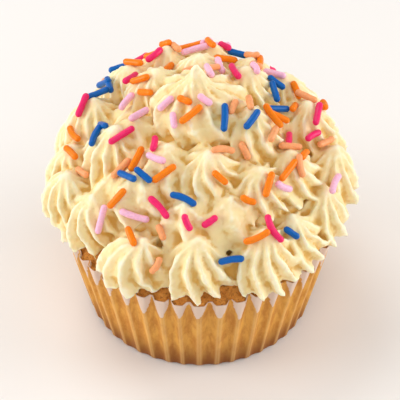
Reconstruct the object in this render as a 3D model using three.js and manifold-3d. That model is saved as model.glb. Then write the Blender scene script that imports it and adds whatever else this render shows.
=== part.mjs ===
// A vanilla cupcake in its pleated paper baking case, topped with piped buttercream.
// It is three solids: the paper case, the cake baked in it, and the buttercream, which
// is one mass of overlapping ridged stars dropped in rings over the cake.
// Millimetres, +Z up, origin at the centre of the case's flat base, front towards -Y.

import * as THREE from "three";
import Module from "manifold-3d";

const wasm = await Module();
wasm.setup();

// Paper case: a straight-sided cone of pleats, with radii measured over the outer folds.
const CASE_HEIGHT = 28.25;
const BASE_RADIUS = 27.9;
const RIM_RADIUS = 34;
const PLEATS = 44;
const PLEAT_DEPTH_AT_BASE = 0.35;
const PLEAT_DEPTH_AT_RIM = 1.1;
const PLEAT_UNEVENNESS = 0.12; // share of a pleat by which a fold strays
const PAPER = 0.45;
const FLOOR_CORNER = 1.1;

// Cake: fills the case to just under the rim, then rises in a low dome.
const GAP = 0.3; // air between one solid and the next
const CRUST_EDGE_BELOW_RIM = 0.9;
const DOME_RISE = 8;
const DOME_STEPS = 2;

// Buttercream: a mound that carries the stars, and the stars themselves. All of it
// was piped a little behind the middle of the cake, which leaves the crust bare in front.
const BUTTERCREAM_CENTRE_Y = 4;
const MOUND_RADIUS = 32;
const MOUND_FOOT = 28.6;
const MOUND_TOP = 56;
const MOUND_STEPS = 3;
const MOUND_SIDES = 16;
const STAR_RADIUS = 8.8;
const STAR_HEIGHT = 12.2;
const STAR_TWIST = 44;
const RIDGE_CREST = 1.04; // shares of the star's radius
const GROOVE = 0.78;
const GROOVE_LAG = 0.42; // how far across from one crest to the next the groove lies
const TIP_SWAY = 0.8;

// Each ring of stars: how far out its feet stand, their height, and how far the stars
// lean outward. Then, for each star: where round the ring it was dropped, in degrees from
// the front towards the right; how far it strays outward and upward; its size; how far
// its peak was dragged sideways; its rise; and how many ridges it kept, since a few were
// smeared into smooth folds.
const RINGS = [
  {
    reach: 30,
    seat: 30.4,
    lean: 8,
    stars: [
      [-2, -0.6, 0.2, 1.08, 1.5, 1, 11],
      [27, 0.8, 0, 1.06, 0.5, 1.05, 12],
      [45, 0.2, 0, 0.95, -1, 1, 11],
      [64, 0.2, 0.5, 0.95, 1, 1, 11],
      [82, 0.2, 2.7, 0.98, 0, 1.2, 11],
      [104, -1.5, 3, 1, 0, 1, 11],
      [127, -0.5, 3, 1.03, 0, 1.05, 12],
      [151, 0.3, 3, 1, 0, 0.95, 11],
      [175, 0.5, 3, 1.03, 0, 1, 10],
      [-160, 0.5, 3, 1, 0, 1.05, 11],
      [-135, 0, 3, 1.03, 0, 0.95, 12],
      [-110, -1.2, 3, 1, 0, 1, 11],
      [-87, -1, 3.5, 0.98, 0, 1, 11],
      [-72, 1, 3, 0.95, 0, 1, 11],
      [-57, -1.2, 0.8, 1, 0, 1.05, 11],
      [-29, 1.2, 0, 1, 4, 1, 9],
    ],
  },
  {
    reach: 23.4,
    seat: 41.2,
    lean: 7,
    stars: [
      [-6, 0.2, -1.6, 0.95, -1, 0.8, 6],
      [37, -2.4, 2.2, 0.97, 0, 0.8, 12],
      [63, -0.5, 0, 0.95, 0, 0.9, 10],
      [101, 1.6, 0, 1, 0, 1.05, 11],
      [125, 0.8, 0.5, 1.03, 0, 1, 12],
      [149, -1.2, 2, 1, 0, 0.95, 11],
      [175, 0.5, 1.6, 1.03, 0, 0.95, 11],
      [-160, 0.5, 2, 1, 0, 1, 11],
      [-137, -0.5, 1.5, 1.03, 0, 0.95, 12],
      [-105, 2.2, -1, 1, 0, 1, 11],
      [-73, -4, 0.4, 1.12, 0, 1, 12],
      [-38, -1.6, 0.6, 1.02, 1, 0.8, 5],
    ],
  },
  {
    reach: 13.6,
    seat: 47.6,
    lean: 5,
    stars: [
      [8, 1.6, -1.5, 0.98, 0, 0.85, 11],
      [66, -1.2, 1, 0.95, 0, 1.05, 10],
      [127, 0, 1, 1, 0, 1, 11],
      [178, 0, 1, 1, 0, 0.95, 10],
      [-131, -1, 1, 1, 0, 1, 11],
      [-77, 1.6, -1, 0.95, 0, 0.8, 6],
      [-30, 1.5, -3, 1.1, 0, 0.8, 7],
    ],
  },
];
const CROWN_STAR = { seat: 51, size: 1.22, drag: -1.4, rise: 1.22, ridges: 14 };

// Outline of a star from its foot towards its tip: share of the height, share of the
// radius. The crown star was pulled up further, to a thinner tip.
const STAR_OUTLINE = [
  [0, 1.03],
  [0.4, 0.88],
  [0.78, 0.46],
];
const CROWN_OUTLINE = [
  [0, 0.97],
  [0.3, 0.96],
  [0.5, 0.7],
  [0.74, 0.29],
];

const BUTTERCREAM = new THREE.MeshStandardMaterial({ color: 0xf3e2b8, roughness: 0.5 });
const CRUMB = new THREE.MeshStandardMaterial({ color: 0xb9713a, roughness: 0.85 });
const BAKING_PAPER = new THREE.MeshStandardMaterial({ color: 0xd3a06a, roughness: 0.7 });

// A fixed value from -1 to 1 that looks random, for what handwork leaves uneven.
function unevenness(index, kind) {
  const scattered = Math.sin(index * 12.9898 + kind * 78.233) * 43758.5453;
  return 2 * (scattered - Math.floor(scattered)) - 1;
}

// A closed surface through equal rings of points, from one centre point to the other.
// Its quads are split on the same slant whether the rings rise or fall, so that a
// pleated wall stays parallel to the one behind it.
function loft(first, rings, last) {
  const sides = rings[0].length;
  const points = [first, ...rings.flat(), last];
  const index = [];
  const at = (ring, side) => 1 + ring * sides + (side % sides);
  for (let side = 0; side < sides; side++) {
    index.push(0, at(0, side + 1), at(0, side));
    for (let ring = 0; ring + 1 < rings.length; ring++) {
      const [a, b] = [at(ring, side), at(ring, side + 1)];
      const [c, d] = [at(ring + 1, side + 1), at(ring + 1, side)];
      const rising = rings[ring + 1][0].z > rings[ring][0].z;
      index.push(...(rising ? [a, b, c, a, c, d] : [a, b, d, b, c, d]));
    }
    index.push(at(rings.length - 1, side), at(rings.length - 1, side + 1), points.length - 1);
  }
  return new THREE.BufferGeometry().setFromPoints(points).setIndex(index);
}

function around(radius, angle, z) {
  return new THREE.Vector3(radius * Math.sin(angle), -radius * Math.cos(angle), z);
}

function circle(radius, z, sides) {
  const points = [];
  for (let side = 0; side < sides; side++) {
    points.push(around(radius, (side / sides) * 2 * Math.PI, z));
  }
  return points;
}

function toSolid(geometry) {
  return new wasm.Manifold(
    new wasm.Mesh({
      numProp: 3,
      vertProperties: geometry.getAttribute("position").array,
      triVerts: new Uint32Array(geometry.getIndex().array),
    }),
  );
}

function toGeometry(solid) {
  const { vertProperties, triVerts } = solid.getMesh();
  return new THREE.BufferGeometry()
    .setAttribute("position", new THREE.BufferAttribute(vertProperties, 3))
    .setIndex(new THREE.BufferAttribute(triVerts, 1));
}

function named(name, geometry, material) {
  const mesh = new THREE.Mesh(geometry, material);
  mesh.name = name;
  return mesh;
}

// One level of the pleats, with every other point an inner fold, moved in by the inset.
function pleatedRing(z, inset) {
  const share = z / CASE_HEIGHT;
  const fold = THREE.MathUtils.lerp(BASE_RADIUS, RIM_RADIUS, share) - inset;
  const depth = THREE.MathUtils.lerp(PLEAT_DEPTH_AT_BASE, PLEAT_DEPTH_AT_RIM, share);
  const points = [];
  for (let i = 0; i < 2 * PLEATS; i++) {
    const angle = ((i + PLEAT_UNEVENNESS * unevenness(i, 1)) * Math.PI) / PLEATS;
    const inward = i % 2 ? depth * (1 + 0.15 * unevenness(i, 2)) : 0;
    points.push(around(fold - inward, angle, z));
  }
  return points;
}

// The paper runs up the outside, over the rim and down the inside to the floor.
function paperCase() {
  const rings = [
    pleatedRing(0, FLOOR_CORNER),
    pleatedRing(FLOOR_CORNER, 0),
    pleatedRing(CASE_HEIGHT, 0),
    pleatedRing(CASE_HEIGHT, PAPER),
    pleatedRing(FLOOR_CORNER + PAPER, PAPER),
    pleatedRing(PAPER, FLOOR_CORNER + PAPER),
  ];
  const floor = new THREE.Vector3(0, 0, 0);
  return loft(floor, rings, new THREE.Vector3(0, 0, PAPER));
}

const CRUST_EDGE = CASE_HEIGHT - CRUST_EDGE_BELOW_RIM;
const CRUST_RADIUS = RIM_RADIUS - 1.3 * PLEAT_DEPTH_AT_RIM - PAPER - GAP;

// Height of the cake's dome at a share of its radius, 0 at the crown and 1 at the edge.
function domeHeight(share) {
  return CRUST_EDGE + DOME_RISE * (1 - share ** 2.4);
}

// The shares of the radius where the dome bends, closest together near its edge.
function domeShares() {
  return Array.from({ length: DOME_STEPS }, (_, step) => {
    return 0.98 - 0.9 * (step / DOME_STEPS) ** 1.5;
  });
}

// The batter baked into the pleats, so the cake's side carries them too.
function cake() {
  const inset = PAPER + GAP;
  const underside = inset;
  const rings = [
    pleatedRing(underside, inset + FLOOR_CORNER),
    pleatedRing(underside + FLOOR_CORNER, inset),
    pleatedRing(CRUST_EDGE, inset),
  ];
  for (const share of domeShares()) {
    rings.push(circle(CRUST_RADIUS * share, domeHeight(share), 2 * PLEATS));
  }
  const middle = new THREE.Vector3(0, 0, underside);
  return loft(middle, rings, new THREE.Vector3(0, 0, domeHeight(0)));
}

// One dropped star, standing on its foot at the origin: ridges that turn as they rise and
// run together in a pulled tip, which sways and is dragged the more the higher it is.
function star(number, outline, { size, drag, rise, ridges }, twist, turn) {
  const height = STAR_HEIGHT * size * rise;
  const swayed = (point, up) => {
    point.x += (drag + TIP_SWAY * unevenness(number, 11)) * up * up;
    point.y += TIP_SWAY * unevenness(number, 12) * up * up;
    return point;
  };
  const rings = outline.map(([up, out]) => {
    const points = [];
    for (let i = 0; i < 2 * ridges; i++) {
      const inGroove = i % 2;
      const ridge = Math.floor(i / 2) + inGroove * GROOVE_LAG;
      const angle = (ridge / ridges) * 2 * Math.PI + turn + twist * (1 - up) ** 1.3;
      const radius = STAR_RADIUS * size * out * (inGroove ? GROOVE : RIDGE_CREST);
      points.push(swayed(around(radius, angle, height * up), up));
    }
    return points;
  });
  const tip = swayed(new THREE.Vector3(0, 0, height), 1);
  return loft(new THREE.Vector3(0, 0, 0), rings, tip);
}

// Stands a star on the mound: leaned outward, then swung round to its azimuth.
function seated(geometry, lean, reach, seat, azimuth) {
  const { degToRad } = THREE.MathUtils;
  return geometry
    .rotateX(degToRad(lean))
    .translate(0, -reach, seat)
    .rotateZ(degToRad(azimuth));
}

function mound() {
  const rings = [];
  for (let step = 0; step < MOUND_STEPS; step++) {
    const angle = ((step / MOUND_STEPS) * Math.PI) / 2;
    const z = MOUND_FOOT + (MOUND_TOP - MOUND_FOOT) * Math.sin(angle);
    rings.push(circle(MOUND_RADIUS * Math.cos(angle), z, MOUND_SIDES));
  }
  const crown = new THREE.Vector3(0, 0, MOUND_TOP);
  return loft(new THREE.Vector3(0, 0, MOUND_FOOT), rings, crown);
}

// The room that the case, the cake and the gap over them take from the buttercream.
function keptClear() {
  const wide = RIM_RADIUS + 2 * STAR_RADIUS;
  const rim = CASE_HEIGHT + GAP;
  const below = -1;
  const rings = [
    circle(wide, below, PLEATS),
    circle(wide, rim, PLEATS),
    circle(RIM_RADIUS - PAPER, rim, PLEATS),
    ...domeShares().map((share) => circle(CRUST_RADIUS * share, domeHeight(share) + GAP, PLEATS)),
  ];
  const crown = new THREE.Vector3(0, 0, domeHeight(0) + GAP);
  return loft(new THREE.Vector3(0, 0, below), rings, crown);
}

// The solid with any air trapped between the stars filled in.
function outerSkin(solid) {
  const skins = solid.decompose();
  return skins.reduce((largest, skin) => (skin.volume() > largest.volume() ? skin : largest));
}

function buttercream() {
  const { degToRad } = THREE.MathUtils;
  const crown = star(0, CROWN_OUTLINE, CROWN_STAR, degToRad(STAR_TWIST), 0);
  let mass = toSolid(mound()).add(toSolid(crown.translate(0, 0, CROWN_STAR.seat)));
  let count = 0;
  for (const { reach, seat, lean, stars } of RINGS) {
    for (const [azimuth, outward, upward, size, drag, rise, ridges] of stars) {
      count += 1;
      const twist = degToRad(STAR_TWIST * (1 + 0.3 * unevenness(count, 5)));
      const shape = { size, drag, rise, ridges };
      const dropped = star(count, STAR_OUTLINE, shape, twist, unevenness(count, 6));
      const placed = seated(dropped, lean, reach + outward, seat + upward, azimuth);
      mass = mass.add(toSolid(placed));
    }
  }
  mass = mass.translate(0, BUTTERCREAM_CENTRE_Y, 0).subtract(toSolid(keptClear()));
  return toGeometry(outerSkin(mass));
}

const cupcake = new THREE.Group();
cupcake.add(
  named("paper_case", paperCase(), BAKING_PAPER),
  named("cake", cake(), CRUMB),
  named("buttercream", buttercream(), BUTTERCREAM),
);

export default cupcake;
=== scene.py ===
import math

import bmesh
import bpy
import numpy as np
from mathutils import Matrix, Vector, kdtree, noise
from mathutils.bvhtree import BVHTree


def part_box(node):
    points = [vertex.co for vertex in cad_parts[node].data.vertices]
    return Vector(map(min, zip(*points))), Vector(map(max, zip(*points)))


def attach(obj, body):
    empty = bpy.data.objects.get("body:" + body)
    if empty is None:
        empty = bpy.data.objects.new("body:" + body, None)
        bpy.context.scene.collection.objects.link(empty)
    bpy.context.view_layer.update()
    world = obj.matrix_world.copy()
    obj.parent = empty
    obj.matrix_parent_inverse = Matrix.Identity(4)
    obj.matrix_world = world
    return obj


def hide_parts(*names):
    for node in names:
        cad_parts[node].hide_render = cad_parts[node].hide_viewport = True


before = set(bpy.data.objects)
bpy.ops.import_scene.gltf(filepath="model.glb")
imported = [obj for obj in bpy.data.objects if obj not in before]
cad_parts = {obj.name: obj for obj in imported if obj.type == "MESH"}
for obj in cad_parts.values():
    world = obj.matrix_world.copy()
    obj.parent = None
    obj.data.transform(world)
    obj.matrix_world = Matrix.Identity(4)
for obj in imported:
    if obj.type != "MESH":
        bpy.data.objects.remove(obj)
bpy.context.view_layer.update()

# ------------------------------------------------------------------ paper case
# A disc of greaseproof baking paper, pressed between fluted dies into a cone of pleats.
# Fat from the cake has soaked and browned it, except for a dry pale tooth at the top of
# each outer fold, where the paper stood clear of the batter.

# Sizes are in millimetres, and become metres as a mesh is made. The stage's are in metres.
MM = 0.001
PLEATS = 44
CASE_LOW, CASE_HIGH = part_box("paper_case")
RIM_HEIGHT = CASE_HIGH.z / MM
RIM_RADIUS = 34.0
BASE_RADIUS = 27.9
PLEAT_DEPTH_AT_BASE = 0.35
PLEAT_DEPTH_AT_RIM = 1.25
PAPER_THICKNESS = 0.12
FLOOR_CORNER = 1.1
TOOTH_LENGTH = 7.4
TOOTH_HALF_WIDTH_AT_RIM = 2.35
TOOTH_HALF_WIDTH_AT_TIP = 0.3
PLEAT_SHIFT, PLEAT_SWAY, PLEAT_DEPTH_STRAY = 0.07, 0.05, 0.12
PAPER_SAG = 0.14
RIM_STRAY, RIM_DIP, RIM_DROP = 0.3, 0.25, 0.1
TOOTH_SHIFT, TOOTH_LENGTH_STRAY = 0.06, 1.1
RAGGED_BY = 0.2


def stray(index, kind):
    """Fixed values from -1 to 1 that look random, for what handwork leaves uneven."""
    scattered = np.sin(np.asarray(index, float) * 12.9898 + kind * 78.233) * 43758.5453
    return 2 * (scattered - np.floor(scattered)) - 1


def around(radius, angle, height):
    """Points at that radius and height, with the angle running from the front to the right."""
    radius, angle, height = np.broadcast_arrays(radius, angle, height)
    return np.stack([radius * np.sin(angle), -radius * np.cos(angle), height], axis=-1)


def lofted(name, shells):
    """One piece, in metres, of closed shells: each has rings of points and two centre points."""
    points, faces = [], []
    for rings, start, end in shells:
        levels, sides = rings.shape[:2]
        base = sum(len(part) for part in points)
        points.append(np.concatenate([[start], rings.reshape(-1, 3), [end]]))
        corner = np.arange(levels * sides).reshape(levels, sides) + 1 + base
        beside = np.roll(corner, -1, axis=1)
        quads = np.stack([corner[:-1], beside[:-1], beside[1:], corner[1:]], axis=-1)
        faces += quads.reshape(-1, 4).tolist()
        faces += [(base, b, a) for a, b in zip(corner[0].tolist(), beside[0].tolist())]
        tip = base + levels * sides + 1
        faces += [(a, b, tip) for a, b in zip(corner[-1].tolist(), beside[-1].tolist())]
    mesh = bpy.data.meshes.new(name)
    mesh.from_pydata((np.concatenate(points) * MM).tolist(), [], faces)
    mesh.shade_smooth()
    piece = bpy.data.objects.new(name, mesh)
    bpy.context.scene.collection.objects.link(piece)
    return piece


def give(mesh, name, values):
    """Stores one number for each point of the mesh, for its material to read."""
    layer = mesh.attributes.new(name, "FLOAT", "POINT")
    layer.data.foreach_set("value", np.asarray(values, np.float32))


# Where the points of one pleat fall, at the rim and below the dry teeth: share of the way
# across it, and how far it is out, from 0 on the inner fold to 1 on the outer one. The outer
# fold is pressed flat at the rim and runs down into a narrow ridge.
RIM_PLEAT = [(0, 0), (0.11, 0.04), (0.2, 0.5), (0.28, 0.93), (0.33, 1), (0.5, 1.03)]
LOW_PLEAT = [(0, 0), (0.14, 0.06), (0.27, 0.4), (0.38, 0.84), (0.44, 0.97), (0.5, 1.03)]
PLEAT_STEPS = 2 * len(RIM_PLEAT) - 2
PLEAT_NUMBER = np.repeat(np.arange(PLEATS), PLEAT_STEPS)
ON_CREASE = np.tile([step in (4, PLEAT_STEPS - 4) for step in range(PLEAT_STEPS)], PLEATS)


def pleat_at(height):
    """Across and out, as above, for all the points round the case at a height."""
    narrow = np.clip((RIM_HEIGHT - height) / TOOTH_LENGTH, 0, 1)
    half = np.array(RIM_PLEAT) * (1 - narrow) + np.array(LOW_PLEAT) * narrow
    mirrored = np.stack([1 - half[-2:0:-1, 0], half[-2:0:-1, 1]], axis=1)
    across, out = np.tile(np.concatenate([half, mirrored]), (PLEATS, 1)).T
    return across, out


def pleat_angle(height):
    """The angle of each point round the case at a height."""
    across = pleat_at(height)[0]
    swayed = across + PLEAT_SWAY * stray(PLEAT_NUMBER, 2) * np.sin(2 * np.pi * across)
    shift = PLEAT_SHIFT * stray(PLEAT_NUMBER, 1)
    return (PLEAT_NUMBER + shift + swayed - 0.5) * (2 * math.pi / PLEATS)


def case_radius(height):
    """Radius of the paper's outside, all round, at a height in millimetres."""
    share = height / RIM_HEIGHT
    fold = BASE_RADIUS + (RIM_RADIUS - BASE_RADIUS) * share
    depth = PLEAT_DEPTH_AT_BASE + (PLEAT_DEPTH_AT_RIM - PLEAT_DEPTH_AT_BASE) * share**0.7
    stands = pleat_at(height)[1] * (1 + PLEAT_DEPTH_STRAY * stray(PLEAT_NUMBER, 3))
    sag = PAPER_SAG * np.sin(3.1 * height / RIM_HEIGHT + 5 * stray(PLEAT_NUMBER, 4))
    return fold - depth * (1 - stands) - 0.1 + sag * share


CORNER_STEPS = [(0.0, 1.0), (0.08, 0.55), (0.3, 0.22), (0.62, 0.05), (1.0, 0.0)]
WALL_HEIGHTS = np.linspace(FLOOR_CORNER, RIM_HEIGHT, 38)
rings = []
for up, tuck in CORNER_STEPS[:-1]:
    rings.append(around(case_radius(0) - tuck * FLOOR_CORNER, pleat_angle(0), up * FLOOR_CORNER))
rim_wave = RIM_STRAY * stray(PLEAT_NUMBER, 5) - RIM_DIP * pleat_at(RIM_HEIGHT)[1] - RIM_DROP
for height in WALL_HEIGHTS:
    lift = rim_wave * (height / RIM_HEIGHT) ** 8
    rings.append(around(case_radius(height), pleat_angle(height), height + lift))
for height in WALL_HEIGHTS[::-4]:
    lift = rim_wave * (height / RIM_HEIGHT) ** 8
    rings.append(around(case_radius(height) - PAPER_THICKNESS, pleat_angle(height), height + lift))
rings.append(around(case_radius(0) - FLOOR_CORNER, pleat_angle(0), PAPER_THICKNESS))
case = lofted("baking_case", [(np.array(rings), (0, 0, 0), (0, 0, PAPER_THICKNESS))])

# The dry tooth of each pleat, as millimetres inside its edge, then the creases and folds.
PLEAT_WIDTH = 2 * math.pi * RIM_RADIUS / PLEATS
off_centre = TOOTH_SHIFT * stray(PLEAT_NUMBER, 6)
length = TOOTH_LENGTH + TOOTH_LENGTH_STRAY * stray(PLEAT_NUMBER, 7)
dryness, creased, folded_out, height_share = [0.0], [0.0], [0.0], [0.0]
for ring in rings:
    height = float(ring[:, 2].mean())
    across, out = pleat_at(height)
    below_rim = (RIM_HEIGHT - ring[:, 2]) * 1.02
    taper = (TOOTH_HALF_WIDTH_AT_TIP - TOOTH_HALF_WIDTH_AT_RIM) * below_rim / length
    inside_edge = TOOTH_HALF_WIDTH_AT_RIM + taper - np.abs(across - 0.5 + off_centre) * PLEAT_WIDTH
    dryness += np.minimum(inside_edge, length - below_rim).tolist()
    creased += ON_CREASE.astype(float).tolist()
    folded_out += out.tolist()
    height_share += (ring[:, 2] / RIM_HEIGHT).tolist()
give(case.data, "dryness", dryness + [0.0])
give(case.data, "crease", creased + [0.0])
give(case.data, "folded_out", folded_out + [0.0])
give(case.data, "height_share", height_share + [0.0])

DRY_PAPER = (0.74, 0.55, 0.44, 1)
SOAKED_PAPER = (0.76, 0.36, 0.06, 1)
DARK_SOAKED_PAPER = (0.54, 0.20, 0.024, 1)
DARKER_TOWARDS_BASE = (0.21, 0.058, 0.006, 1)
FOLD_HIGHLIGHT_PAPER = (0.80, 0.45, 0.14, 1)
CREASE_HIGHLIGHT = (0.86, 0.60, 0.33, 1)
FAT_SPECKS = (0.74, 0.38, 0.07, 1)


class Finish:
    """A material made of shader nodes: its coat is the surface shader, and the rest feeds that."""

    def __init__(self, name, **settings):
        self.material = bpy.data.materials.new(name)
        self.material.use_nodes = True
        self.nodes = self.material.node_tree.nodes
        self.links = self.material.node_tree.links
        self.coat = self.nodes["Principled BSDF"]
        for socket, value in settings.items():
            self.coat.inputs[socket.replace("_", " ")].default_value = value
        self.place = self.nodes.new("ShaderNodeTexCoord").outputs["Object"]

    def feed(self, value, socket):
        """Links an output to the socket, or sets the socket to a plain value."""
        if isinstance(value, bpy.types.NodeSocket):
            self.links.new(value, socket)
        else:
            socket.default_value = value

    def measure(self, name):
        node = self.nodes.new("ShaderNodeAttribute")
        node.attribute_name = name
        return node.outputs["Fac"]

    def speckle(self, size_mm, detail=3.0, rough=0.55, stretch=(1, 1, 1)):
        """Noise with lumps of about that size."""
        spread = self.nodes.new("ShaderNodeMapping")
        spread.inputs["Scale"].default_value = [1 / (size_mm * MM * s) for s in stretch]
        self.links.new(self.place, spread.inputs["Vector"])
        node = self.nodes.new("ShaderNodeTexNoise")
        node.inputs["Scale"].default_value = 1.0
        node.inputs["Detail"].default_value = detail
        node.inputs["Roughness"].default_value = rough
        self.links.new(spread.outputs["Vector"], node.inputs["Vector"])
        return node.outputs["Fac"]

    def math(self, kind, a, b):
        node = self.nodes.new("ShaderNodeMath")
        node.operation = kind
        self.feed(a, node.inputs[0])
        self.feed(b, node.inputs[1])
        return node.outputs[0]

    def fade(self, value, low, high, to_low=0.0, to_high=1.0):
        """A smooth step of a value from one level to another."""
        node = self.nodes.new("ShaderNodeMapRange")
        node.interpolation_type = "SMOOTHSTEP"
        self.feed(value, node.inputs["Value"])
        node.inputs["From Min"].default_value = low
        node.inputs["From Max"].default_value = high
        node.inputs["To Min"].default_value = to_low
        node.inputs["To Max"].default_value = to_high
        return node.outputs["Result"]

    def blend(self, share, under, over):
        node = self.nodes.new("ShaderNodeMix")
        node.data_type = "RGBA"
        self.feed(share, node.inputs["Factor"])
        self.feed(under, node.inputs["A"])
        self.feed(over, node.inputs["B"])
        return node.outputs["Result"]

    def relief(self, height, depth_mm):
        node = self.nodes.new("ShaderNodeBump")
        node.inputs["Strength"].default_value = 1.0
        node.inputs["Distance"].default_value = depth_mm * MM
        self.links.new(height, node.inputs["Height"])
        return node.outputs["Normal"]

    def colour(self, value):
        self.feed(value, self.coat.inputs["Base Color"])

    def surface(self, normal):
        self.links.new(normal, self.coat.inputs["Normal"])


paper = Finish("greaseproof_paper", Roughness=0.6, Subsurface_Weight=0.1, Subsurface_Scale=0.0015)
paper.coat.inputs["Subsurface Radius"].default_value = (1.0, 0.6, 0.3)
paper.coat.inputs["Specular IOR Level"].default_value = 0.25
mottled = paper.fade(paper.speckle(1.5, 4, 0.6, (1, 1, 4.5)), 0.33, 0.68)
fine_mottle = paper.fade(paper.speckle(0.9, 3), 0.4, 0.75)
soaked = paper.blend(mottled, DARK_SOAKED_PAPER, SOAKED_PAPER)
soaked = paper.blend(paper.math("MULTIPLY", fine_mottle, 0.3), soaked, FAT_SPECKS)
# The paper is painted darker towards its base.
towards_base = paper.fade(paper.measure("height_share"), 0.42, 0.0, 0.0, 0.95)
soaked = paper.blend(towards_base, soaked, DARKER_TOWARDS_BASE)
# Painted highlight: the outer folds are painted paler than the valleys between them.
fold_highlight = paper.fade(paper.measure("folded_out"), 0.55, 1.0, 0.0, 0.35)
soaked = paper.blend(fold_highlight, soaked, FOLD_HIGHLIGHT_PAPER)
# Painted highlight: a thin light line along each crease of the outer folds.
soaked = paper.blend(paper.math("MULTIPLY", paper.measure("crease"), 0.14), soaked, CREASE_HIGHLIGHT)
fraying = paper.fade(paper.speckle(1.1, 3), 0.2, 0.8, -RAGGED_BY, RAGGED_BY)
ragged = paper.math("ADD", paper.measure("dryness"), fraying)
dry = paper.fade(ragged, -0.08, 0.12)
paper.colour(paper.blend(dry, soaked, DRY_PAPER))
paper.surface(paper.relief(paper.speckle(0.35, 4, 0.6, (1, 1, 4)), 0.03))
case.data.materials.append(paper.material)
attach(case, "root")
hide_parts("paper_case")

# ------------------------------------------------------------------------ cake
# A plain vanilla sponge, baked in the case until its top set in a low dome with a
# golden-brown crust. It takes the shape of the pleats, and its crumb has fine open pores.
CRUST_EDGE = RIM_HEIGHT - 0.9
CRUST_RADIUS = 31.6
DOME_RISE = 8.0
SPONGE_GAP = 0.2
CRUST_STEPS = 70
CRUST_SETTLE = 0.5
LUMP_SIZE, LUMP_HEIGHT = 3.1, 0.5
CRUMB_SIZE, CRUMB_HEIGHT = 1.2, 0.45
PORE_SIZE, PORE_DEPTH, PORE_EDGE = 0.8, 1.6, 0.02
PORE_SHIFT = Vector((7, 3, 1))
GOLDEN_CRUST = (0.68, 0.24, 0.034, 1)
LIGHT_CRUST = (0.84, 0.37, 0.075, 1)
OPEN_CRUMB = (0.80, 0.37, 0.09, 1)
PORE_SHADE = (0.30, 0.08, 0.014, 1)


def dome_height(share):
    """Height of the crust, in millimetres, from the crown at 0 to the edge at 1."""
    return CRUST_EDGE + DOME_RISE * (1 - np.clip(share, 0, 1) ** 2.4)


rings = []
wall_inset = PAPER_THICKNESS + SPONGE_GAP
rings.append(around(case_radius(0) - FLOOR_CORNER - wall_inset, pleat_angle(0), wall_inset))
for height in np.linspace(FLOOR_CORNER, CRUST_EDGE, 12):
    rings.append(around(case_radius(height) - wall_inset, pleat_angle(height), height))
for step in range(1, CRUST_STEPS):
    share = 1 - (step / CRUST_STEPS) ** 1.35
    edge = case_radius(CRUST_EDGE) - wall_inset
    settle = CRUST_SETTLE * (1 - math.exp(-step / 3))
    radius = edge * share + (CRUST_RADIUS - edge) * share * min(1, step / 8)
    rings.append(around(radius, pleat_angle(CRUST_EDGE), dome_height(share) + settle))
cake_middle = (0, 0, dome_height(0) + CRUST_SETTLE)
cake = lofted("sponge", [(np.array(rings), (0, 0, wall_inset), cake_middle)])
for vertex in cake.data.vertices:
    x, y, z = vertex.co / MM
    if z < CRUST_EDGE + 0.1:
        continue
    outward = Vector((x / 60, y / 60, 1)).normalized()
    spot = Vector((x, y, z))
    lumps = noise.noise(spot / LUMP_SIZE) * LUMP_HEIGHT + noise.noise(spot / CRUMB_SIZE) * CRUMB_HEIGHT
    pores = max(0.0, noise.noise(spot / PORE_SIZE + PORE_SHIFT) - PORE_EDGE) * PORE_DEPTH
    vertex.co += outward * (lumps - pores) * MM

sponge = Finish("browned_sponge", Roughness=0.8)
crumb = sponge.fade(sponge.speckle(0.8, 5, 0.75), 0.42, 0.6)
# Painted shade: dark spots for the shade inside the crust's pores.
pore_shade_spots = sponge.fade(sponge.speckle(0.55, 4, 0.7), 0.52, 0.64)
toasted = sponge.fade(sponge.speckle(4.5, 3), 0.35, 0.7)
crust = sponge.blend(toasted, GOLDEN_CRUST, LIGHT_CRUST)
crust = sponge.blend(sponge.math("MULTIPLY", crumb, 0.6), crust, OPEN_CRUMB)
sponge.colour(sponge.blend(sponge.math("MULTIPLY", pore_shade_spots, 0.65), crust, PORE_SHADE))
sponge.coat.inputs["Specular IOR Level"].default_value = 0.25
sponge.surface(sponge.relief(sponge.speckle(0.5, 5, 0.7), 0.35))
cake.data.materials.append(sponge.material)
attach(cake, "root")
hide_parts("cake")

# ----------------------------------------------------------------- buttercream
# Whipped butter and icing sugar, piped from a bag with an open-star nozzle: the bag is
# held upright, squeezed to drop a ridged star, then turned and pulled away to a peak.
# The stars run together in rings from the edge of the cake up to the crown.
BUTTERCREAM_CENTRE_Y = 4.0
MOUND_RADIUS = 30.5
MOUND_FOOT = 28.6
MOUND_TOP = 53.5
MOUND_LEVELS, MOUND_SIDES = 13, 64
STAR_RADIUS = 8.8
STAR_HEIGHT = 12.2
STAR_TWIST = 44
STAR_SIDES = 144
STAR_LEVELS = 36
GROOVE_DEPTH, GROOVE_STRAY = 0.29, 0.07
RIDGE_STRAY = 0.08
TEAR_DEPTH, FINE_TEAR_DEPTH = 0.045, 0.03
PEAK_STRAY = 0.8
MOST_SMEARED_RIDGES = 7

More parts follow.
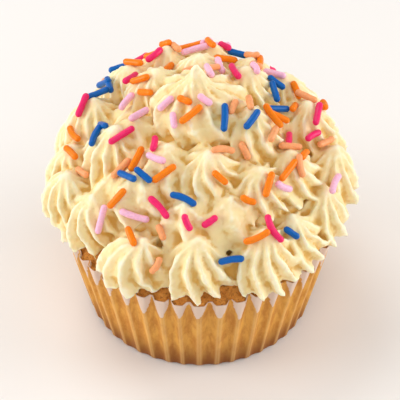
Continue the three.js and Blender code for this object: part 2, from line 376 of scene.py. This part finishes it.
# Each ring of stars: how far out its feet stand, their height, and how far the stars lean
# outward. Then, for each star: where round the ring it was dropped, in degrees from the
# front towards the right; how far it strays outward and upward; its size; how far its
# peak was dragged sideways; its rise; and how many ridges it kept, since a few were
# smeared into smooth folds.
RINGS = [
    (30, 30.4, 8, [
        (-2, -0.6, 0.2, 1.08, 1.5, 1, 11), (27, 0.8, 0, 1.06, 0.5, 1.05, 12),
        (45, 0.2, 0, 0.95, -1, 1, 11), (64, 0.2, 0.5, 0.95, 1, 1, 11), (82, 0.2, 2.7, 0.98, 0, 1.2, 11),
        (104, -1.5, 3, 1, 0, 1, 11), (127, -0.5, 3, 1.03, 0, 1.05, 12), (151, 0.3, 3, 1, 0, 0.95, 11),
        (175, 0.5, 3, 1.03, 0, 1, 10), (-160, 0.5, 3, 1, 0, 1.05, 11), (-135, 0, 3, 1.03, 0, 0.95, 12),
        (-110, -1.2, 3, 1, 0, 1, 11), (-87, -1, 3.5, 0.98, 0, 1, 11), (-72, 1, 3, 0.95, 0, 1, 11),
        (-57, -1.2, 0.8, 1, 0, 1.05, 11), (-29, 1.2, 0, 1, 4, 1, 9),
    ]),
    (23.4, 41.2, 7, [
        (-6, 0.2, -1.6, 0.95, -1, 0.8, 6), (37, -2.4, 2.2, 0.97, 0, 0.8, 12),
        (63, -0.5, 0, 0.95, 0, 0.9, 10), (101, 1.6, 0, 1, 0, 1.05, 11), (125, 0.8, 0.5, 1.03, 0, 1, 12),
        (149, -1.2, 2, 1, 0, 0.95, 11), (175, 0.5, 1.6, 1.03, 0, 0.95, 11), (-160, 0.5, 2, 1, 0, 1, 11),
        (-137, -0.5, 1.5, 1.03, 0, 0.95, 12), (-105, 2.2, -1, 1, 0, 1, 11),
        (-73, -4, 0.4, 1.12, 0, 1, 12), (-38, -1.6, 0.6, 1.02, 1, 0.8, 5),
    ]),
    (13.6, 47.6, 5, [
        (8, 1.6, -1.5, 0.98, 0, 0.85, 11), (66, -1.2, 1, 0.95, 0, 1.05, 10), (127, 0, 1, 1, 0, 1, 11),
        (178, 0, 1, 1, 0, 0.95, 10), (-131, -1, 1, 1, 0, 1, 11), (-77, 1.6, -1, 0.95, 0, 0.8, 6),
        (-30, 1.5, -3, 1.1, 0, 0.8, 7),
    ]),
]
CROWN_SEAT, CROWN_SIZE, CROWN_RISE = 51.0, 1.22, 1.22
CROWN_RIDGES, CROWN_DRAG, CROWN_SMOOTHNESS = 12, -1.4, 0.65
CROWN_BODY_RISE = 5

# Smaller dabs that the nozzle left in the gaps: how far out and how high they stand, and
# then the same as for the stars.
DABS = [
    (23.5, 40.5, 10, [(14, 0, -0.5, 0.9, 1, 0.85, 6), (-56, 0, 0.5, 0.8, 0, 0.7, 5)]),
    (16, 46.0, 6, [(-56, 1.5, -2, 0.85, 0, 0.75, 6), (36, 1, -1.5, 0.8, 0, 0.75, 6)]),
    (16, 46.0, 6, [(97, 0, -0.5, 0.85, 0, 0.8, 7), (-104, 0, -0.5, 0.8, 0, 0.8, 6)]),
]

# Outline of a star and of the crown: share of the height, share of the radius.
STAR_OUTLINE = [
    (0, 1.03), (0.12, 1.0), (0.3, 0.93), (0.48, 0.82), (0.64, 0.66), (0.77, 0.48), (0.87, 0.3),
    (0.94, 0.16), (1, 0.05),
]
CROWN_OUTLINE = [
    (0, 0.92), (0.12, 1), (0.25, 1.05), (0.38, 1.02), (0.48, 0.91), (0.55, 0.75), (0.61, 0.54),
    (0.68, 0.35), (0.8, 0.2), (1, 0.04),
]


def star_rings(number, outline, size, rise, twist, turn, ridges, drag, swollen=0.0):
    """Rings of points of one star on its foot at the origin; a swollen one has a smooth body."""
    up = np.linspace(0, 1, STAR_LEVELS)[:, None] ** 0.9
    angle = np.linspace(0, 2 * math.pi, STAR_SIDES, endpoint=False)[None, :]
    out = np.interp(up, *zip(*outline))
    swirl = angle - turn - twist * (1 - up) ** 1.3
    ridge = swirl * ridges / (2 * math.pi)
    which = np.floor(ridge) % ridges + 20 * number
    part = (ridge - np.floor(ridge)) ** (0.8 + 0.12 * stray(number, 8))
    channel = np.sin(np.pi * part) ** 1.7
    depth = GROOVE_DEPTH + GROOVE_STRAY * stray(which, 9) + 0.03 * (1 - up) ** 3
    depth = depth * (1 - swollen * np.clip((0.58 - up) / 0.25, 0, 1))
    reach = 1 + RIDGE_STRAY * stray(which, 10) * (1 - up) ** 1.5
    torn = TEAR_DEPTH * stray(np.floor(angle * 9.3) + number, 13) * np.clip(1 - up / 0.16, 0, 1)
    nicked = FINE_TEAR_DEPTH * stray(np.floor(angle * 21) + number, 14) * np.clip(1 - up / 0.1, 0, 1)
    reach = reach + torn + nicked
    radius = STAR_RADIUS * size * out * reach * (1.05 - depth * channel)
    height = STAR_HEIGHT * size * rise * up
    points = around(radius, angle, height)
    points[..., 0] += (drag + PEAK_STRAY * stray(number, 11)) * up**2
    points[..., 1] += PEAK_STRAY * stray(number, 12) * up**2
    return points


def stood(points, lean, reach, seat, azimuth):
    """Leans a star outward, moves it out and up to its seat, and swings it round."""
    lean, azimuth = math.radians(lean), math.radians(azimuth)
    x, y, z = points[..., 0], points[..., 1], points[..., 2]
    y, z = y * math.cos(lean) - z * math.sin(lean) - reach, y * math.sin(lean) + z * math.cos(lean) + seat
    x, y = x * math.cos(azimuth) - y * math.sin(azimuth), x * math.sin(azimuth) + y * math.cos(azimuth)
    return np.stack([x, y + BUTTERCREAM_CENTRE_Y, z], axis=-1)


MELD_SIZE = 0.5
dropped = []
star_middles = []
count = 0
for reach, seat, lean, stars in RINGS + DABS:
    for azimuth, outward, upward, size, drag, rise, ridges in stars:
        count += 1
        twist = math.radians(STAR_TWIST * (1 + 0.3 * stray(count, 5)))
        star = star_rings(count, STAR_OUTLINE, size, rise, twist, stray(count, 6), ridges, drag)
        dropped.append(stood(star, lean, reach + outward, seat + upward, azimuth))
        if ridges > MOST_SMEARED_RIDGES:
            star_middles.append(dropped[-1].mean(axis=(0, 1)))
star_middles.append(np.array([0, BUTTERCREAM_CENTRE_Y, CROWN_SEAT + CROWN_BODY_RISE]))
twist = math.radians(STAR_TWIST)
crown = star_rings(
    0, CROWN_OUTLINE, CROWN_SIZE, CROWN_RISE, twist, 0, CROWN_RIDGES, CROWN_DRAG, CROWN_SMOOTHNESS
)
dropped.append(stood(crown, 0, 0, CROWN_SEAT, 0))

steps = np.linspace(0, math.pi / 2, MOUND_LEVELS, endpoint=False)[:, None]
mound = around(
    MOUND_RADIUS * np.cos(steps),
    np.linspace(0, 2 * math.pi, MOUND_SIDES, endpoint=False)[None, :],
    MOUND_FOOT + (MOUND_TOP - MOUND_FOOT) * np.sin(steps),
)
mound[..., 1] += BUTTERCREAM_CENTRE_Y
shells = [(star, star[0].mean(axis=0), star[-1].mean(axis=0)) for star in dropped]
shells.append((mound, (0, BUTTERCREAM_CENTRE_Y, MOUND_FOOT), (0, BUTTERCREAM_CENTRE_Y, MOUND_TOP)))
cream = lofted("piped_buttercream", shells)
melded = cream.modifiers.new("melded", "REMESH")
melded.mode = "VOXEL"
melded.voxel_size = MELD_SIZE * MM
melded.use_smooth_shade = True
bpy.context.view_layer.update()
fused = bpy.data.meshes.new_from_object(cream.evaluated_get(bpy.context.evaluated_depsgraph_get()))
cream.modifiers.clear()
cream.data = fused


def edge_ends(mesh):
    """The first points of all the edges, and the second ones."""
    pairs = np.empty(len(mesh.edges) * 2, np.int32)
    mesh.edges.foreach_get("vertices", pairs)
    return pairs.reshape(-1, 2).T


def joined_points(mesh):
    """Which points of the mesh belong to its largest closed shell."""
    a, b = edge_ends(mesh)
    shell = np.arange(len(mesh.vertices))
    before = None
    while before is None or (shell != before).any():
        before = shell.copy()
        np.minimum.at(shell, a, before[b])
        np.minimum.at(shell, b, before[a])
        shell = shell[shell]
    return shell == np.bincount(shell).argmax()


# Loose flecks and closed-in bubbles, which the melding leaves, are taken out.
whole = bmesh.new()
whole.from_mesh(fused)
loose = [point for point, joined in zip(whole.verts, joined_points(fused)) if not joined]
bmesh.ops.delete(whole, geom=loose, context="VERTS")
whole.to_mesh(fused)
whole.free()


def points_of(mesh):
    """The mesh's points in millimetres, one row each."""
    flat = np.empty(len(mesh.vertices) * 3, np.float32)
    mesh.vertices.foreach_get("co", flat)
    return flat.reshape(-1, 3).astype(float) / MM


def move_points(mesh, places):
    mesh.vertices.foreach_set("co", (places * MM).astype(np.float32).ravel())
    mesh.update()


def normals_of(mesh):
    flat = np.empty(len(mesh.vertices) * 3, np.float32)
    mesh.vertex_normals.foreach_get("vector", flat)
    return flat.reshape(-1, 3).astype(float)


def smoothed(mesh, places, rounds):
    """The points after each has moved to the average of its neighbours, so many times."""
    a, b = edge_ends(mesh)
    count = np.bincount(a, minlength=len(places)) + np.bincount(b, minlength=len(places))
    for _ in range(rounds):
        total = [
            np.bincount(a, places[b, axis], len(places)) + np.bincount(b, places[a, axis], len(places))
            for axis in range(3)
        ]
        places = np.stack(total, axis=1) / count[:, None]
    return places


# The cream's roughness: fine everywhere, and coarser where it was smeared between stars.
# All of it is swayed a little too, by separate noise along each axis.
FINE_GRAIN, SMEAR_GRAIN, SMEAR_WAVES, DRIFT = 0.09, 0.12, 0.25, 0.5
WAVE_SIZE, BUMP_SIZE, DRIFT_SIZE = 2.3, 0.9, 3.2
DRIFT_SHIFTS = [Vector((9, 0, 0)), Vector((0, 17, 0)), Vector((0, 0, 31))]
SMEARED_FROM, SMEARED_OVER = 6.5, 2.5
CREAM_OVER_CRUST, CREAM_OVER_RIM = 0.55, 0.25

places = points_of(fused)
outward = normals_of(fused)
waves = np.array([noise.noise(Vector(place / WAVE_SIZE)) for place in places])
bumps = np.array([noise.noise(Vector(place / BUMP_SIZE)) for place in places])
drift = np.stack([
    [noise.noise(Vector(place / DRIFT_SIZE) + shift) for place in places] for shift in DRIFT_SHIFTS
], axis=1)
away = np.full(len(places), np.inf)
for middle in star_middles:
    away = np.minimum(away, np.linalg.norm(places - middle, axis=1))
smeared = np.clip((away - SMEARED_FROM) / SMEARED_OVER, 0, 1)
grain = FINE_GRAIN * bumps + smeared * (SMEAR_WAVES * waves + SMEAR_GRAIN * bumps)
places += outward * grain[:, None] + DRIFT * drift
out = np.hypot(places[:, 0], places[:, 1])
over_crust = dome_height(out / CRUST_RADIUS) + CREAM_OVER_CRUST
rest_on = np.where(out < CRUST_RADIUS, over_crust, RIM_HEIGHT + CREAM_OVER_RIM)
places[:, 2] = np.maximum(places[:, 2], rest_on)
move_points(fused, places)

# How far each point lies below the surface around it: in the grooves it is above 0. Narrow
# creases are measured against the near surface and broad valleys against the far one.
NEAR_ROUNDS, FAR_ROUNDS = 4, 23
CREASE_WEIGHT = 3
outward = normals_of(fused)
near = smoothed(fused, places, NEAR_ROUNDS)
far = smoothed(fused, near, FAR_ROUNDS)
crease = ((near - places) * outward).sum(axis=1)
valley = ((far - places) * outward).sum(axis=1)
give(fused, "groove", crease * CREASE_WEIGHT + valley)

WARM_CREAM = (0.87, 0.705, 0.36, 1)
PALE_CREAM = (0.90, 0.76, 0.44, 1)
GROOVE_SHADE_CREAM = (0.74, 0.45, 0.11, 1)
RIDGE_HIGHLIGHT_CREAM = (0.95, 0.87, 0.62, 1)
DYED_CREAM = (0.82, 0.51, 0.28, 1)

cream_finish = Finish("buttercream", Roughness=0.45, Subsurface_Weight=0.25, Subsurface_Scale=0.0012)
cream_finish.coat.inputs["Subsurface Radius"].default_value = (1.0, 0.6, 0.25)
cream_finish.coat.inputs["Specular IOR Level"].default_value = 0.35
groove = cream_finish.measure("groove")
tone = cream_finish.fade(cream_finish.speckle(7, 3), 0.35, 0.7)
body = cream_finish.blend(tone, WARM_CREAM, PALE_CREAM)
# Painted shade in the grooves between the ridges, strongest where they are deepest.
body = cream_finish.blend(cream_finish.fade(groove, 0.1, 1.3), body, GROOVE_SHADE_CREAM)
# Painted highlight along the crests of the ridges.
body = cream_finish.blend(cream_finish.fade(groove, -0.2, -1.4), body, RIDGE_HIGHLIGHT_CREAM)
patchy = cream_finish.fade(cream_finish.speckle(1.6, 3), 0.3, 0.65, 0.1, 0.6)
stained = cream_finish.math("MULTIPLY", cream_finish.measure("dye"), patchy)
cream_finish.colour(cream_finish.blend(stained, body, DYED_CREAM))
cream_finish.surface(cream_finish.relief(cream_finish.speckle(0.55, 4, 0.65), 0.1))
cream.data.materials.clear()
cream.data.materials.append(cream_finish.material)
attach(cream, "root")
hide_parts("buttercream")

# ------------------------------------------------------------------ sprinkles
# Sugar strands, extruded, dyed in five colours and cut short, which leaves them a little
# crooked. They were shaken on in pinches over the soft buttercream, and lie where they
# landed, lightly stuck. Their dye has begun to bleed into the cream.
STRAND_RADIUS = 0.82
STRAND_SIDES, STRAND_STATIONS = 12, 7
STRAND_BEND, STRAND_UNEVENNESS = 0.5, 0.05
SHORTEST_STRAND, LONGEST_STRAND = 4.0, 7.5
LEAST_APART = 3.4
FARTHEST_OUT = 33
MOST_TIP = 0.32
SUNK_IN = 0.72
SETTLING_ROUNDS, SETTLING_SHARE = 12, 0.8
DROP_HEIGHT, PROBE_HEIGHT = 90, 7
DYE_SPREAD = 1.9
DULL_SIDE = 0.88
CROWN_CENTRE = Vector((0, BUTTERCREAM_CENTRE_Y, 22))

DYES = {
    "blue": (0.001, 0.12, 0.46, 1),
    "orange": (0.95, 0.23, 0.004, 1),
    "hot_pink": (0.88, 0.022, 0.16, 1),
    "pale_pink": (0.97, 0.54, 0.73, 1),
    "peach": (0.95, 0.40, 0.17, 1),
}

# Each pinch: where it fell, in degrees round from the front towards the right and in
# millimetres out from the middle; how wide it spread; and how many strands of each colour
# it held, in the order of the dyes.
PINCHES = [
    (-15, 8, 3, (0, 2, 0, 3, 0)), (40, 11, 3, (1, 0, 0, 0, 4)), (165, 12, 4, (0, 1, 1, 2, 2)),
    (-110, 14, 3, (0, 2, 0, 1, 0)), (70, 18, 3, (1, 2, 1, 0, 1)), (125, 17, 4, (2, 1, 0, 2, 1)),
    (-50, 18, 4, (0, 1, 2, 1, 2)), (-25, 21, 3, (2, 1, 1, 2, 0)), (15, 22, 3, (0, 1, 0, 0, 0)),
    (105, 22, 4, (1, 2, 2, 0, 1)), (-120, 23, 4, (3, 1, 2, 0, 0)), (-165, 25, 5, (0, 2, 1, 2, 0)),
    (175, 26, 3, (0, 0, 0, 2, 0)), (-85, 24, 3, (2, 2, 0, 0, 0)), (60, 26, 4, (0, 2, 0, 1, 3)),
    (-35, 27, 3, (1, 2, 0, 1, 1)), (-5, 28, 3, (0, 0, 2, 0, 1)), (30, 29, 3, (1, 3, 1, 1, 0)),
    (10, 30, 2, (1, 0, 0, 0, 0)), (155, 30, 5, (1, 1, 1, 1, 1)), (180, 33, 5, (1, 2, 1, 1, 1)),
    (-150, 31, 5, (1, 1, 1, 1, 1)),
]

# The rounded end of a strand: how far past its last station, and how thick, each as a
# share of the radius.
ROUND_END = [(0.93, 0.36), (0.7, 0.71), (0.3, 0.95)]

cream_mesh = cream.data
surface = BVHTree.FromPolygons(
    [vertex.co / MM for vertex in cream_mesh.vertices],
    [face.vertices[:] for face in cream_mesh.polygons],
)


def clearance(spot):
    """How far a spot lies outside the buttercream, less than 0 if it is inside."""
    nearest, facing, _, _ = surface.find_nearest(spot)
    offset = spot - nearest
    return offset.length if offset.dot(facing) > 0 else -offset.length


def strand(azimuth, out, heading, length, number):
    """Drops a strand at that place, rests it on the buttercream and gives its rings."""
    azimuth, heading = math.radians(azimuth), math.radians(heading)
    above = Vector((out * math.sin(azimuth), BUTTERCREAM_CENTRE_Y - out * math.cos(azimuth), DROP_HEIGHT))
    landed = surface.ray_cast(above, Vector((0, 0, -1)))[0]
    outward = (landed - CROWN_CENTRE).normalized()
    along = Vector((math.cos(heading), math.sin(heading), 0))
    along = (along - along.dot(outward) * outward).normalized()
    half = length / 2 - STRAND_RADIUS
    ends = []
    for end in (landed - along * half, landed + along * half):
        below = surface.ray_cast(end + outward * PROBE_HEIGHT, -outward)[0] or end
        tip = max(-MOST_TIP * half, min(MOST_TIP * half, (below - end).dot(outward)))
        ends.append(end + outward * tip)
    along = (ends[1] - ends[0]).normalized()
    middle = (ends[0] + ends[1]) / 2
    bend = STRAND_BEND * length / 6 * stray(number, 21) ** 3
    aside = along.cross(outward).normalized()
    places = np.linspace(-half, half, STRAND_STATIONS)
    for _ in range(SETTLING_ROUNDS):
        spine = [middle + along * at + aside * bend * (1 - (at / half) ** 2) for at in places]
        too_deep = SUNK_IN * STRAND_RADIUS - min(clearance(spot) for spot in spine)
        middle += outward * too_deep * SETTLING_SHARE
    rings = []
    turn = np.linspace(0, 2 * math.pi, STRAND_SIDES, endpoint=False)
    stations = [(-half, -beyond, width) for beyond, width in ROUND_END]
    stations += [(at, 0, 1 + STRAND_UNEVENNESS * stray(number + at, 22)) for at in places]
    stations += [(half, beyond, width) for beyond, width in reversed(ROUND_END)]
    upright = along.cross(aside)
    for at, beyond, width in stations:
        centre = middle + along * (at + beyond * STRAND_RADIUS) + aside * bend * (1 - (at / half) ** 2)
        round_it = [(aside * math.cos(t) + upright * math.sin(t)) * STRAND_RADIUS * width for t in turn]
        rings.append([centre + spoke for spoke in round_it])
    cap = along * half + along * STRAND_RADIUS
    return np.array(rings), np.array(middle - cap), np.array(middle + cap), spine


chance = np.random.default_rng(7)
landed_at = {name: [] for name in DYES}
taken = []


def crowded(spot):
    """Whether a strand has already landed on that spot."""
    return any(math.dist(spot, other) < LEAST_APART for other in taken)


for azimuth, out, spread, numbers in PINCHES:
    azimuth = math.radians(azimuth)
    middle = np.array([out * math.sin(azimuth), out * math.cos(azimuth)])
    for name, number in zip(DYES, numbers):
        for _ in range(number):
            spot = middle + chance.normal(0, spread, 2)
            while crowded(spot) or math.hypot(*spot) > FARTHEST_OUT:
                spot = middle + chance.normal(0, spread, 2)
            taken.append(spot)
            length = chance.uniform(SHORTEST_STRAND, LONGEST_STRAND)
            place = (math.degrees(math.atan2(*spot)), math.hypot(*spot), chance.uniform(0, 180), length)
            landed_at[name].append(place)

stains = []
number = 0
for name, colour in DYES.items():
    shells = []
    for place in landed_at[name]:
        number += 1
        rings, start, end, spine = strand(*place, number)
        shells.append((rings, start, end))
        if name != "blue":
            stains += spine
    strands = lofted(name + "_strands", shells)
    sugar = Finish(name + "_sugar", Roughness=0.3, Subsurface_Weight=0.15, Subsurface_Scale=0.0006)
    sugar.coat.inputs["Specular IOR Level"].default_value = 0.22
    dull = sugar.fade(sugar.speckle(0.6, 3), 0.3, 0.75)
    sugar.colour(sugar.blend(dull, tuple(DULL_SIDE * part for part in colour[:3]) + (1,), colour))
    sugar.surface(sugar.relief(sugar.speckle(0.35, 3, 0.6), 0.008))
    strands.data.materials.append(sugar.material)
    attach(strands, "root")

# The dye that has crept into the cream around each strand.
tree = kdtree.KDTree(len(stains))
for index, spot in enumerate(stains):
    tree.insert(spot, index)
tree.balance()
dye = [math.exp(-((tree.find(place)[2] / DYE_SPREAD) ** 2)) for place in points_of(cream_mesh)]
give(cream_mesh, "dye", dye)

# ----------------------------------------------------------------------- stage
# A pale seamless table under soft studio light: a window high behind the cake on the left,
# a bright wall on each side and a weaker fill from the front.
TABLE_SIZE = 6
TABLE_COLOUR = (0.845, 0.83, 0.815, 1)
LAMPS_AIM = (0, 0, 0.03)
WALL_TINT = (1.0, 0.98, 0.96)
WINDOW_TINT = (1.0, 0.985, 0.96)
ROOM_TINT = (1.0, 0.97, 0.94, 1)
ROOM_BRIGHTNESS = 0.49

bpy.ops.mesh.primitive_plane_add(size=TABLE_SIZE)
table = bpy.context.object
table.name = "table"
table_finish = Finish("pale_table", Roughness=0.7)
table_finish.colour(TABLE_COLOUR)
table.data.materials.append(table_finish.material)


def softbox(name, place, size, watts, tint):
    """A round soft lamp that faces the cake."""
    lamp = bpy.data.lights.new(name, "AREA")
    lamp.shape = "DISK"
    lamp.size = size
    lamp.energy = watts
    lamp.color = tint
    stand = bpy.data.objects.new(name, lamp)
    stand.location = place
    stand.rotation_euler = (Vector(LAMPS_AIM) - Vector(place)).to_track_quat("-Z", "Y").to_euler()
    bpy.context.scene.collection.objects.link(stand)


softbox("window", (-0.35, 0.55, 0.95), 0.6, 3.5, WINDOW_TINT)
softbox("left_wall", (-1.0, -0.1, 0.35), 0.7, 6.7, WALL_TINT)
softbox("right_wall", (1.0, 0.0, 0.34), 0.7, 6.4, WALL_TINT)
softbox("front_fill", (0.1, -0.75, 0.85), 0.9, 2.9, WALL_TINT)
world = bpy.data.worlds.new("room")
world.use_nodes = True
world.node_tree.nodes["Background"].inputs["Color"].default_value = ROOM_TINT
world.node_tree.nodes["Background"].inputs["Strength"].default_value = ROOM_BRIGHTNESS
bpy.context.scene.world = world
bpy.context.scene.view_settings.view_transform = "Standard"

CAMERA_DISTANCE = 0.45
CAMERA_ELEVATION = math.radians(43.15)
AIM_HEIGHT = 0.02977
FOCAL_LENGTH = 166.15
lens = bpy.data.cameras.new("camera")
lens.sensor_width = 36
lens.lens = FOCAL_LENGTH
lens.clip_start = 0.01
camera = bpy.data.objects.new("camera", lens)
camera.location = (
    0,
    -CAMERA_DISTANCE * math.cos(CAMERA_ELEVATION),
    AIM_HEIGHT + CAMERA_DISTANCE * math.sin(CAMERA_ELEVATION),
)
camera.rotation_euler = (math.pi / 2 - CAMERA_ELEVATION, 0, 0)
bpy.context.scene.collection.objects.link(camera)
bpy.context.scene.camera = camera
